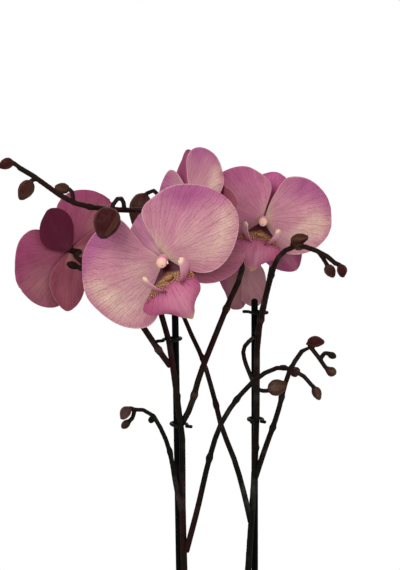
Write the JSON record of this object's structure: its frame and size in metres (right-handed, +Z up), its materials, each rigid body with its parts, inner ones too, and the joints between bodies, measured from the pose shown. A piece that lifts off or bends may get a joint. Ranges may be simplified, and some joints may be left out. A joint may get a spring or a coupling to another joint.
{
  "type": "potted orchid",
  "caption": "Moth orchid in a plain round pot, with arching flower spikes, side branches and buds held to thin stakes by clips.",
  "frame": {"origin": "centre of the pot's underside", "axes": "+Z up; the front flower faces -Y; +X is to the right as the front is looked at"},
  "size_m": [0.3314, 0.2097, 0.5615],
  "materials": {
    "pot": "satin",
    "bark": "matte",
    "crown": "satin",
    "leaf": "satin",
    "root": "matte",
    "stake": "satin",
    "clip": "satin",
    "stem": "satin",
    "petal": "matte",
    "sepal": "matte",
    "lip": "matte",
    "column": "satin"
  },
  "bodies": {
    "root": {"flower_a_petal_left": "petal", "flower_a_petal_right": "petal", "flower_a_sepal_dorsal": "sepal", "flower_a_sepal_left": "sepal", "flower_a_sepal_right": "sepal", "flower_a_lip": "lip", "flower_a_column": "column", "flower_b_petal_left": "petal", "flower_b_petal_right": "petal", "flower_b_sepal_dorsal": "sepal", "flower_b_sepal_left": "sepal", "flower_b_sepal_right": "sepal", "flower_b_lip": "lip", "flower_b_column": "column", "flower_c_petal_left": "petal", "flower_c_petal_right": "petal", "flower_c_sepal_dorsal": "sepal", "flower_c_sepal_left": "sepal", "flower_c_sepal_right": "sepal", "flower_c_lip_and_column": "lip", "flower_d_petal_left": "petal", "flower_d_petal_right": "petal", "flower_d_sepal_dorsal": "sepal", "flower_d_sepal_left": "sepal", "flower_d_sepal_right": "sepal", "flower_d_lip_and_column": "lip", "flower_e_petal_left": "petal", "flower_e_petal_right": "petal", "flower_e_sepal_dorsal": "sepal", "flower_e_sepal_left": "sepal", "flower_e_sepal_right": "sepal", "flower_e_lip_and_column": "lip", "spike_left": "stem", "branch_left_high": "stem", "branch_left_arch": "stem", "branch_left_low": "stem", "branch_left_side": "stem", "spike_right": "stem", "branch_right_high": "stem", "branch_right_low": "stem", "branch_right_cross": "stem", "shoot_right": "stem", "stake_left": "stake", "stake_right": "stake", "clip_left_upper": "clip", "clip_left_lower": "clip", "clip_right_upper": "clip", "clip_right_lower": "clip", "crown": "crown", "leaf_1": "leaf", "leaf_2": "leaf", "leaf_3": "leaf", "leaf_4": "leaf", "leaf_5": "leaf", "root_1": "root", "root_2": "root", "root_3": "root", "pot": "pot", "bark_mix": "bark"}
  },
  "joints": []
}
